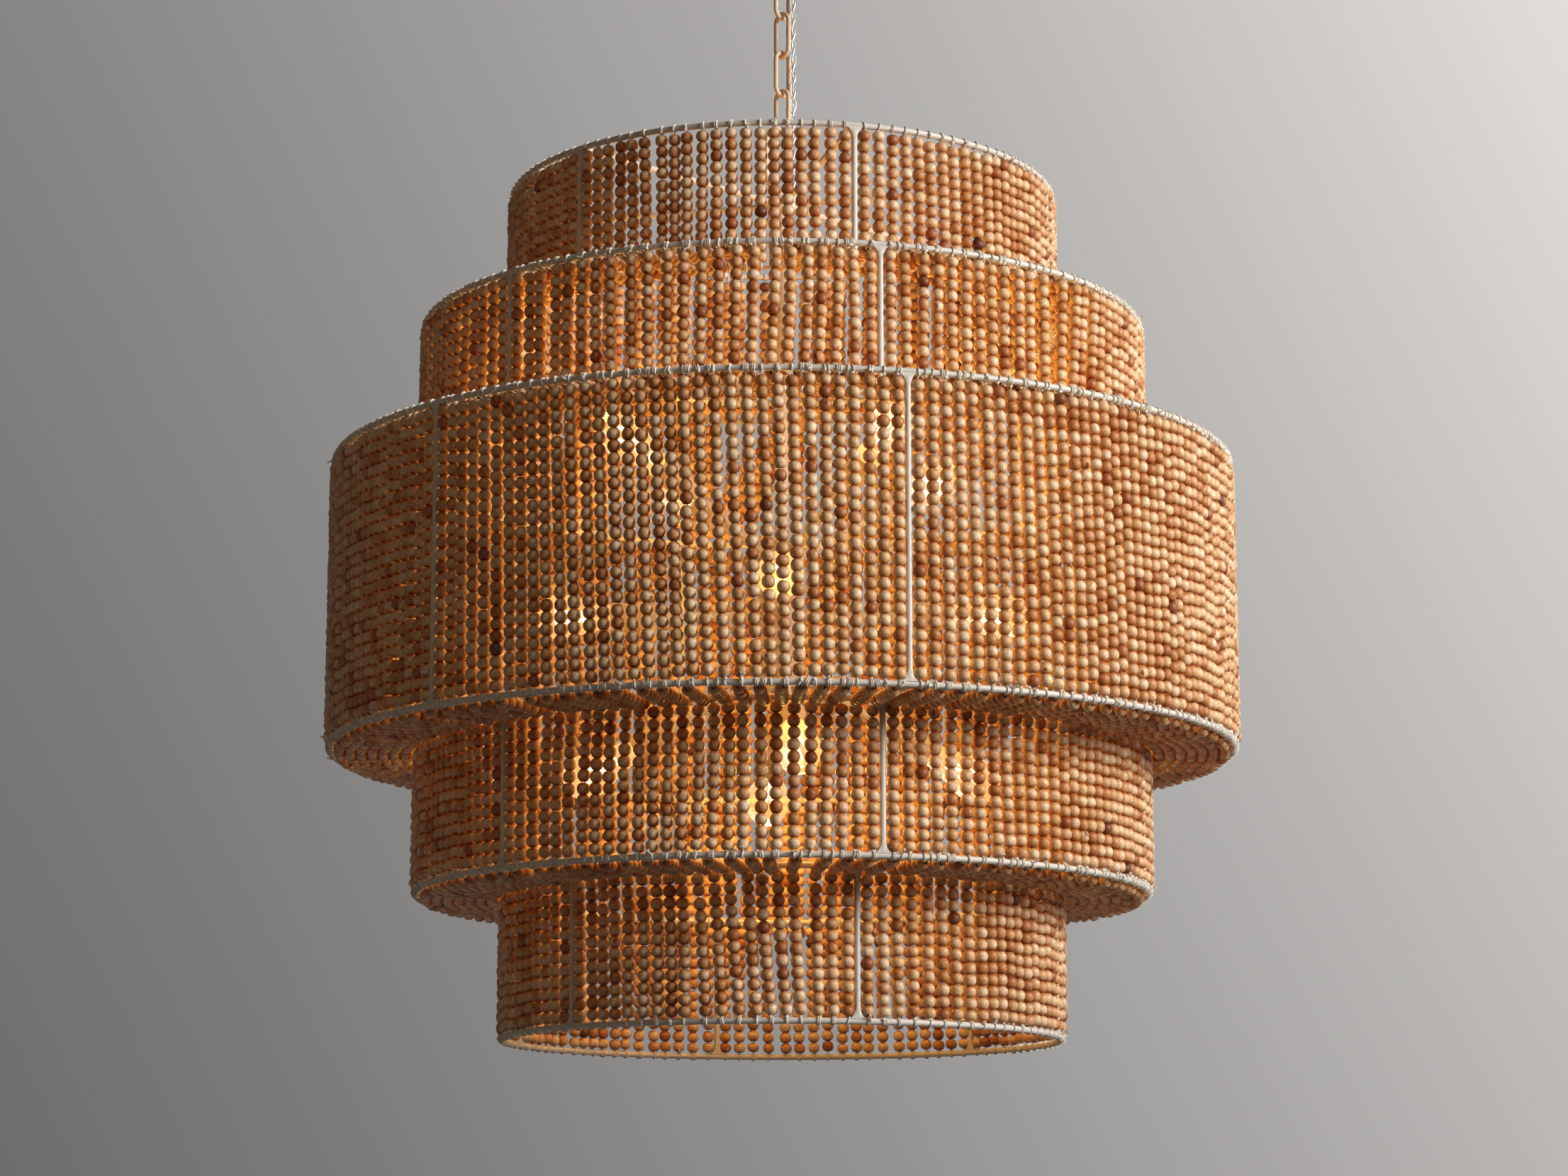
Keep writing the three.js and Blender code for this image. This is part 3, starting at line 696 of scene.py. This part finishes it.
def string_beads(name, places, node):
    """Beads of many strands: bored ones at the ends, where their holes show, plain ones between."""
    ends = np.concatenate([strand[[0, -1]] for strand in places])
    repeated(f"{name}_strand_ends", bored_bead, ends, "fixture", [bead_wood, bead_bore],
             bead_tones(len(ends)), [node])
    between = np.concatenate([strand[1:-1] for strand in places])
    cuts = 1 + len(between) * TRIANGLES_PER_BEAD // MOST_TRIANGLES
    for number, block in enumerate(np.array_split(between, cuts)):
        suffix = f"_{number + 1}" if cuts > 1 else ""
        repeated(f"{name}_strands{suffix}", plain_bead, block, "fixture", [bead_wood],
                 bead_tones(len(block)), [node])


def make_step(number):
    """The radial strands between the rings of two neighbouring drums."""
    outer_drum, plane, inner_drum = STEP_RODS[number]
    height = PLANES[plane]
    outer, inner = DRUM_RADII[outer_drum], DRUM_RADII[inner_drum]
    below_outer = inner_drum < outer_drum  # the outer drum hangs below this step
    count = STEP_STRANDS[number]
    angles = spread_round(inner, gap_shares(count))
    outer_end = outer - (STEP_FAR_END if below_outer else STEP_NEAR_END)
    inner_end = inner + (STEP_NEAR_END if below_outer else STEP_FAR_END)
    lift = chance.uniform(-0.0008, 0.0006, count)
    inner_angles = angles + chance.normal(0, 0.0006, count) / inner
    starts = on_circle(outer_end, angles, height - STEP_DROP + lift)
    ends = on_circle(inner_end, inner_angles, height - STEP_DROP - lift)
    places = strand_places(starts, ends, BEADS_PER_STEP, BEAD_PITCH)
    cords.extend(zip(starts, ends))
    cords.extend(zip(on_circle(outer, angles, height - ROD_RADIUS), starts))
    cords.extend(zip(on_circle(inner, inner_angles, height - ROD_RADIUS), ends))
    outer_kind, inner_kind = ("top", "low") if below_outer else ("low", "top")
    shift = STEP_LASHING_SHIFT
    lashings.extend((outer, height, angle, outer_kind) for angle in angles + shift / outer)
    lashings.extend((inner, height, angle, inner_kind) for angle in inner_angles + shift / inner)
    string_beads(f"step_{number + 1}_bead", places, f"radial_strands_{number + 1}")


for drum in range(len(DRUM_RADII)):
    make_curtain(drum)
for number in range(len(STEP_STRANDS)):
    make_step(number)


# Cotton: the cord in each strand, its wraps round the rods, knots and frayed ends


def make_cords():
    """A cord through every strand, from ring to ring."""
    cord = shape_arrays(turned([(0, 0), (CORD_RADIUS, 0), (CORD_RADIUS, 1), (0, 1)], 5))
    starts, ends = np.array(cords).transpose(1, 0, 2)
    places = np.zeros((len(cords), 4, 4))
    places[:, :3, :3] = turn_to(ends - starts)
    places[:, :3, 2] *= np.linalg.norm(ends - starts, axis=1)[:, None]
    places[:, :3, 3] = starts
    places[:, 3, 3] = 1
    repeated("strand_cords", cord, places, "fixture", [cotton])


def wrap_shape(turns):
    """A few turns of cord side by side round a rod that lies along Z."""
    inside = ROD_RADIUS * 0.97
    outside = ROD_RADIUS + 2 * WRAP_RADIUS
    profile = []
    for turn in range(turns):
        low = turn * 2.1 * WRAP_RADIUS
        profile += [(inside, low), (outside, low + 0.55 * WRAP_RADIUS),
                    (outside, low + 1.45 * WRAP_RADIUS)]
    profile.append((inside, turns * 2.1 * WRAP_RADIUS))
    return shape_arrays(turned(profile, 7, closed=True))


def knot_shape():
    """Small flattened knot."""
    knot = bmesh.new()
    bmesh.ops.create_icosphere(knot, subdivisions=1, radius=KNOT_RADIUS)
    bmesh.ops.scale(knot, vec=(1.25, 0.9, 0.85), verts=knot.verts)
    return shape_arrays(knot)


def frayed_shape():
    """Cut cord end that opens into a small brush."""
    profile = [(0, 0), (0.0007, 0), (0.0006, 0.003), (0.001, 0.0052), (0, 0.0047)]
    return shape_arrays(turned(profile, 4))


def make_lashings():
    """Wraps, a knot and cut ends wherever a strand is tied to a ring."""
    wraps, knots, ends = {1: [], 2: [], 3: []}, [], []
    for radius, height, angle, kind in lashings:
        turns = int(chance.choice([1, 2, 3], p=[0.45, 0.45, 0.1]))
        tilt = Quaternion((math.cos(angle), math.sin(angle), 0), chance.normal(0, 0.16))
        tangent = tangent_at(angle)
        middle = at_angle(radius, angle, height)
        wraps[turns].append(np.array(Matrix.Translation(middle) @ facing(tilt @ tangent)
                                     @ Matrix.Translation((0, 0, -turns * 1.05 * WRAP_RADIUS))))
        around = chance.normal(-1.0 if kind == "top" else 1.1, 0.5)  # height angle round the rod
        side = 1 if chance.random() < 0.8 else -1
        outward = at_angle(1, angle, 0)
        normal = (outward * side * math.cos(around) + UP * math.sin(around)).normalized()
        shift = tangent * chance.normal(0, 0.0007)
        spot = Matrix.Translation(middle + normal * (ROD_RADIUS + 1.5 * WRAP_RADIUS) + shift)
        knot = spot @ facing(normal) @ Matrix.Rotation(chance.uniform(0, FULL_TURN), 4, "Z")
        if chance.random() < 0.85:
            knots.append(np.array(knot @ Matrix.Scale(chance.uniform(0.8, 1.25), 4)))
        odds = [0.75, 0.2, 0.05] if kind == "top" else [0.35, 0.4, 0.25]
        for _ in range(int(chance.choice([0, 1, 2], p=odds))):
            lean = Vector(chance.normal(0, 0.45, 3))
            direction = (normal + lean + UP * 0.35).normalized()
            grow = Matrix.Diagonal((1, 1, chance.uniform(0.55, 1.35), 1))
            ends.append(np.array(spot @ facing(direction) @ grow))
    for turns, places in wraps.items():
        repeated(f"cotton_wraps_{turns}", wrap_shape(turns), places, "fixture", [cotton])
    repeated("cotton_knots", knot_shape(), knots, "fixture", [cotton])
    repeated("cotton_frayed_ends", frayed_shape(), ends, "fixture", [cotton])


make_cords()
make_lashings()


# Chain, loops and ceiling fitting


def oval_of_wire(outer_length, outer_width, wire, bend_steps=14):
    """Oval of round wire in the XZ plane with a weld seam on one straight side."""
    oval = bmesh.new()
    bend = (outer_width - wire) / 2
    half = (outer_length - outer_width) / 2
    bmesh.ops.create_circle(oval, radius=wire / 2, segments=ROD_SIDES,
                            matrix=Matrix.Translation((bend, 0, half)))
    first = oval.edges[:]
    turned_over = bmesh.ops.spin(oval, geom=oval.verts[:] + first, cent=(0, 0, half),
                                 axis=(0, -1, 0), angle=math.pi, steps=bend_steps)["geom_last"]
    last = [e for e in turned_over if isinstance(e, bmesh.types.BMEdge)]
    done = 0.0
    for share, width in ((0.43, 1.0), (0.47, 1.12), (0.53, 1.0), (0.57, 1 / 1.12), (1.0, 1.0)):
        drawn = bmesh.ops.extrude_edge_only(oval, edges=last)["geom"]
        verts = [v for v in drawn if isinstance(v, bmesh.types.BMVert)]
        last = [e for e in drawn if isinstance(e, bmesh.types.BMEdge)
                and e.verts[0] in verts and e.verts[1] in verts]
        bmesh.ops.translate(oval, vec=(0, 0, -2 * half * (share - done)), verts=verts)
        done = share
        if width != 1.0:
            middle = sum((v.co for v in verts), Vector()) / len(verts)
            bmesh.ops.scale(oval, vec=(width, width, 1), verts=verts,
                            space=Matrix.Translation(-middle))
    verts = list({v for e in last for v in e.verts})
    turned_under = bmesh.ops.spin(oval, geom=verts + last, cent=(0, 0, -half), axis=(0, -1, 0),
                                  angle=math.pi, steps=bend_steps)["geom_last"]
    last = [e for e in turned_under if isinstance(e, bmesh.types.BMEdge)]
    bmesh.ops.bridge_loops(oval, edges=last + first)
    bmesh.ops.recalc_face_normals(oval, faces=oval.faces)
    return oval


def make_chain():
    """Oval links, each turned a quarter against its neighbours."""
    for number, body in enumerate(LINK_BODIES):
        link = oval_of_wire(LINK_LENGTH, LINK_WIDTH, LINK_WIRE)
        middle = FIRST_LINK_TOP - number * LINK_PITCH - (LINK_LENGTH - LINK_WIRE) / 2
        quarter = Matrix.Rotation(math.pi / 2 if number % 2 == 0 else 0, 4, "Z")
        make_piece(raised(placed(link, quarter), middle), f"chain_link_{number + 1}", body,
                   [chain_paint], 60, [f"link_{number + 1}"])


def make_hub_loop():
    """Large oval that the last link hangs the hub by."""
    loop = oval_of_wire(HUB_LOOP_LENGTH, HUB_LOOP_WIDTH, LOOP_WIRE, 20)
    middle = HUB_LOOP_TOP - (HUB_LOOP_LENGTH - LOOP_WIRE) / 2
    make_piece(raised(loop, middle), "hub_loop_wire", "fixture", [chain_paint], 60,
               ["hub_loop"])


def make_canopy_loop():
    """Turned collar with a round loop under it."""
    fitting = raised(turned([(0, 0), (0.0085, 0), (0.0098, 0.001), (0.0105, 0.003),
                             (0.0105, 0.0095), (0.0098, 0.0115), (0.009, 0.012), (0, 0.012)], 32),
                     COLLAR_LOW)
    ring = placed(ring_of(CANOPY_LOOP_RADIUS, LOOP_WIRE / 2, 40),
                  Matrix.Rotation(-math.pi / 2, 4, "X"))
    add_part(fitting, raised(ring, CANOPY_LOOP_LOW + CANOPY_LOOP_RADIUS))
    make_piece(fitting, "canopy_loop_wire", "canopy", [chain_paint], 45,
               ["canopy_loop"])


def make_grommet(name, body, middle, flange_up, node):
    """Moulded ring that guards the flex where it passes through metal."""
    turn = Matrix.Rotation(math.pi if flange_up else 0, 4, "X")
    shape = placed(turned(GROMMET_PROFILE, 24), Matrix.Translation(middle) @ turn)
    make_piece(shape, name, body, [grommet_finish], 35, [node])


make_chain()
make_hub_loop()
make_canopy_loop()
make_piece(turned(CANOPY_PROFILE, 64, closed=True), "ceiling_canopy", "canopy", [frame_paint],
           40, ["canopy"])
make_grommet("canopy_flex_grommet", "canopy", (0.0145, -0.0145, -0.028 - GAP), False,
             "canopy_grommet")
make_grommet("hub_flex_grommet", "fixture", (0.009, -0.009, HUB_TOP + GAP), True, "hub_grommet")
for node in ("mounting_strap", "nipple"):
    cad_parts[node].data.materials.clear()
    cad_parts[node].data.materials.append(strap_steel)


# Flex: two clear cores twisted round each other, cut where the chain bends


def smooth_route(points, steps=8):
    """A smooth line through points in millimetres, as points in metres."""
    given = [Vector(p) / 1000 for p in points]
    given = [2 * given[0] - given[1], *given, 2 * given[-1] - given[-2]]
    line = []
    for a, b, c, d in zip(given, given[1:], given[2:], given[3:]):
        for step in range(steps):
            t = step / steps
            line.append(0.5 * (2 * b + (c - a) * t + (2 * a - 5 * b + 4 * c - d) * t * t
                               + (3 * b - a - 3 * c + d) * t * t * t))
    return line + [given[-2]]


def wire_along(points, radius, name):
    """Round wire along points, closed at both ends, as a mesh."""
    curve = bpy.data.curves.new(name, "CURVE")
    curve.dimensions = "3D"
    curve.bevel_depth = radius
    curve.bevel_resolution = 2
    curve.use_fill_caps = True
    spline = curve.splines.new("POLY")
    spline.points.add(len(points) - 1)
    for place, point in zip(spline.points, points):
        place.co = (*point, 1)
    holder = link_new(name, curve)
    bpy.context.view_layer.update()
    mesh = bpy.data.meshes.new_from_object(holder)
    bpy.data.objects.remove(holder)
    bpy.data.curves.remove(curve)
    return mesh


def route_length(points):
    """Length in metres of straight runs between points in millimetres."""
    return sum((Vector(b) - Vector(a)).length / 1000 for a, b in zip(points, points[1:]))


def make_flex(number, route):
    """One stretch of the flex, from a link to the next, bent at the hinge between them."""
    line = smooth_route(route)
    travelled = [0.0]
    for a, b in zip(line, line[1:]):
        travelled.append(travelled[-1] + (b - a).length)
    before = sum(route_length(points) for _, _, _, points in FLEX_ROUTES[:number])
    sheath = bmesh.new()
    conductors = bmesh.new()
    for side in (0, math.pi):
        twisted = []
        for i, point in enumerate(line):
            ahead = (line[min(i + 1, len(line) - 1)] - line[max(i - 1, 0)]).normalized()
            across = ahead.cross(Vector((0, 1, 0))).normalized()
            other = ahead.cross(across)
            turn = (before + travelled[i]) / TWIST_LENGTH * FULL_TURN + side
            offset = across * math.cos(turn) + other * math.sin(turn)
            twisted.append(point + offset * CORE_OFFSET)
        for holder, radius in ((sheath, SHEATH_RADIUS), (conductors, CONDUCTOR_RADIUS)):
            mesh = wire_along(twisted, radius, "twisted")
            holder.from_mesh(mesh)
            bpy.data.meshes.remove(mesh)
    outer = make_piece(sheath, f"flex_stretch_{number + 1}", None, [flex_plastic], 50,
                       [f"flex_{number + 1}"])
    inner = make_piece(conductors, f"flex_conductors_{number + 1}", None, [conductor_metal],
                       50)
    for piece in (outer, inner):
        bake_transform(piece)


for number, (upper, lower, joint_height, route) in enumerate(FLEX_ROUTES):
    make_flex(number, route)


# Lights


def light_runs():
    """Name, start and direction of each arm with its socket and bulb."""
    runs = []
    for level, height, tilt, turn in LIGHT_LEVELS:
        for number in range(LIGHTS_PER_LEVEL):
            side = math.radians(turn - 90) + number * FULL_TURN / LIGHTS_PER_LEVEL
            rise = math.radians(tilt)
            direction = Vector((math.cos(rise) * math.cos(side), math.cos(rise) * math.sin(side),
                                math.sin(rise)))
            runs.append((f"{level}_{number + 1}", Vector((0, 0, LAMP_MIDDLE + height)), direction))
    return runs


def make_stem():
    """Tube from the hub to the lamp body."""
    top, low = HUB_TOP - HUB_HEIGHT - GAP, BODY_TOP + GAP
    stem = turned([(0, low), (STEM_RADIUS, low), (STEM_RADIUS, top), (0, top)], 28)
    make_piece(stem, "stem_tube", "fixture", [frame_paint], stands_for=["stem"])


def make_lamp_body(runs):
    """Turned body with softened edges and an arm for each light."""
    body = turned(softened(BODY_RADIUS, BODY_LOW, BODY_TOP, 0.002), 40)
    for _, start, direction in runs:
        add_rod(body, start + direction * ARM_START, start + direction * ARM_LENGTH,
                direction.cross(UP).normalized(), False, ARM_RADIUS, 16)
    make_piece(body, "lamp_body_and_arms", "fixture", [frame_paint],
               stands_for=["lamp_body"])


def make_finial():
    """Turned knob under the lamp body."""
    finial = turned([(0, -0.022), (0.0035, -0.0218), (0.005, -0.0205), (0.0054, -0.0185),
                     (0.0078, -0.0145), (0.0097, -0.0105), (0.01, -0.0085), (0.01, -0.0015),
                     (0.0094, 0), (0, 0)], 28)
    make_piece(raised(finial, BODY_LOW - GAP), "finial_knob", "fixture", [frame_paint],
               stands_for=["finial"])


def cap_outline():
    """Screw cap of a bulb: a contact, a shoulder, five ridges and a rim."""
    outline = [(0, 0), (0.004, 0), (0.0048, 0.0015), (0.0105, 0.0045), (0.0118, 0.006)]
    for ridge in range(5):
        outline += [(0.0129, 0.0078 + 0.0048 * ridge), (0.0120, 0.0102 + 0.0048 * ridge)]
    return outline + [(0.0126, 0.0325), (0.0126, 0.0333), (0, 0.0333)]


def on_light(profile, steps, start, direction, distance):
    """A turned piece that stands on an arm, at a distance from the arm's start."""
    foot = start + direction * distance
    return placed(turned(profile, steps), along(foot, foot + direction))


def filament_shape(start, direction):
    """Four glowing sticks that lean outwards round the bulb's axis."""
    glow = bmesh.new()
    turn = along(start + direction * BULB_FOOT, start + direction * (BULB_FOOT + 1))
    foot, tip = FILAMENT_HEIGHTS
    for stick in range(4):
        angle = stick * FULL_TURN / 4
        low = at_angle(0.0035, angle, foot)
        high = at_angle(0.0085, angle + 0.5, tip)
        length = (high - low).length
        outline = [(0, 0), (FILAMENT_RADIUS, 0), (FILAMENT_RADIUS, length), (0, length)]
        add_part(glow, placed(turned(outline, 6), turn @ along(low, high)))
    return glow


def make_light(name, start, direction):
    """Sleeve, glass, cap and filament of one light."""
    make_piece(on_light(SOCKET_PROFILE, 28, start, direction, ARM_LENGTH + GAP),
               f"candle_sleeve_{name}", "fixture", [sleeve_finish], 40,
               [f"socket_{name}"])
    make_piece(on_light(GLASS_PROFILE, 28, start, direction, BULB_FOOT), f"bulb_glass_{name}",
               "fixture", [bulb_glass], 60, [f"bulb_{name}"])
    make_piece(on_light(cap_outline(), 24, start, direction, BULB_FOOT), f"bulb_cap_{name}",
               "fixture", [cap_brass], 50)
    make_piece(filament_shape(start, direction), f"bulb_filament_{name}", "fixture",
               [filament_glow], 50)


lights = light_runs()
make_stem()
make_lamp_body(lights)
make_finial()
for name, start, direction in lights:
    make_light(name, start, direction)


# Stage: camera, lamps, floor and wall

turn_to_camera = Matrix.Rotation(CAMERA_TURN, 4, "Z")


def make_camera():
    """The photograph's view."""
    data = bpy.data.cameras.new("camera")
    data.sensor_fit = "HORIZONTAL"
    data.sensor_width = SENSOR_WIDTH
    data.lens = FOCAL_PIXELS / IMAGE_WIDTH * SENSOR_WIDTH
    data.clip_start = 0.1
    camera = link_new("camera", data)
    stand = Matrix.Translation((0, -CAMERA_DISTANCE, CAMERA_HEIGHT))
    camera.matrix_world = (turn_to_camera @ stand @ Matrix.Rotation(CAMERA_PAN, 4, "Z")
                           @ Matrix.Rotation(math.pi / 2 + CAMERA_PITCH, 4, "X"))
    bpy.context.scene.camera = camera


def area_lamp(name, place, size, power, tone):
    """Soft lamp aimed at the drums; place is as seen from the camera: right, away, up."""
    data = bpy.data.lights.new(name, "AREA")
    data.shape = "DISK"
    data.size = size
    data.energy = power
    data.color = tone
    data.spread = math.radians(60)
    lamp = link_new(name, data)
    spot, target = turn_to_camera @ Vector(place), Vector((0, 0, LAMP_AIM))
    lamp.matrix_world = Matrix.Translation(spot) @ facing(target - spot, "-Z")


def bulb_lamp(name, start, direction):
    """The light that a bulb gives."""
    data = bpy.data.lights.new(f"lamp_{name}", "POINT")
    data.energy = 0.56
    data.color = (1.0, 0.61, 0.13)
    data.shadow_soft_size = 0.018
    lamp = link_new(f"lamp_{name}", data)
    lamp.location = start + direction * (ARM_LENGTH + 0.15)
    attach(lamp, "fixture")


def seen_directly(tree):
    """1 for rays from the camera, in mirrors and through glass, 0 for rays that carry light."""
    rays = add_node(tree, "LightPath")
    seen = rays.outputs["Is Camera Ray"]
    for kind in ("Is Transmission Ray", "Is Glossy Ray"):
        inputs = {0: seen, 1: rays.outputs[kind]}
        seen = add_node(tree, "Math", inputs, operation="MAXIMUM").outputs["Value"]
    return seen


def make_floor():
    """Pale floor that is clear from below."""
    shape = bmesh.new()
    bmesh.ops.create_grid(shape, x_segments=1, y_segments=1, size=FLOOR_HALF_SIDE)
    mesh = mesh_of(raised(shape, FLOOR_HEIGHT), "floor")
    link_new("floor", mesh)
    finish, tree = new_finish("floor_paint")
    paint = add_node(tree, "BsdfPrincipled", {
        "Base Color": (0.62, 0.61, 0.59), "Roughness": 0.8,
        "Emission Color": (0.31, 0.30, 0.288), "Emission Strength": seen_directly(tree)})
    choice = add_node(tree, "MixShader", {
        "Fac": add_node(tree, "NewGeometry").outputs["Backfacing"], 1: paint.outputs["BSDF"],
        2: add_node(tree, "BsdfTransparent").outputs["BSDF"]})
    add_node(tree, "OutputMaterial", {"Surface": choice.outputs["Shader"]})
    mesh.materials.append(finish)


def make_wall():
    """World: a wall that grows lighter to the upper right, and a dim light from it all round."""
    world = bpy.data.worlds.new("studio")
    bpy.context.scene.world = world
    world.use_nodes = True
    tree = world.node_tree
    tree.nodes.clear()
    to_right = add_node(tree, "VectorMath", {
        0: add_node(tree, "TexCoord").outputs["Generated"],
        1: turn_to_camera @ Vector(WALL_SLOPE)}, operation="DOT_PRODUCT")
    growth = add_node(tree, "Math", {0: to_right.outputs["Value"]}, operation="EXPONENT")
    darkest, lightest = WALL_RANGE
    brightness = add_node(tree, "MapRange", {
        "Value": growth.outputs["Value"], "From Min": darkest, "From Max": lightest,
        "To Min": darkest * WALL_TONE, "To Max": lightest * WALL_TONE})
    tone = multiplied(tree, 1.0, brightness.outputs["Result"], (1.0, 0.97, 0.94))
    light, sight = (add_node(tree, "Background", {"Color": tone, "Strength": strength})
                    for strength in (ROOM_LIGHT, 1.0))
    which = add_node(tree, "MixShader", {
        "Fac": seen_directly(tree), 1: light.outputs["Background"],
        2: sight.outputs["Background"]})
    add_node(tree, "OutputWorld", {"Surface": which.outputs["Shader"]})


make_camera()
area_lamp("window_light", (3.08, -1.64, 0.15), 1.8, 21.4, (1.0, 1.0, 0.97))
area_lamp("fill_light", (0.3, -3.5, 0.3), 1.6, 1.0, (1.0, 0.72, 0.47))
area_lamp("back_light", (0.9, 3.6, 0.5), 1.6, 3.6, (1.0, 0.92, 0.82))
area_lamp("far_light", (-3.0, -1.2, -0.6), 1.6, 0.4, (1.0, 0.70, 0.45))
for name, start, direction in lights:
    bulb_lamp(name, start, direction)
make_floor()
make_wall()
bpy.context.scene.view_settings.view_transform = "Standard"
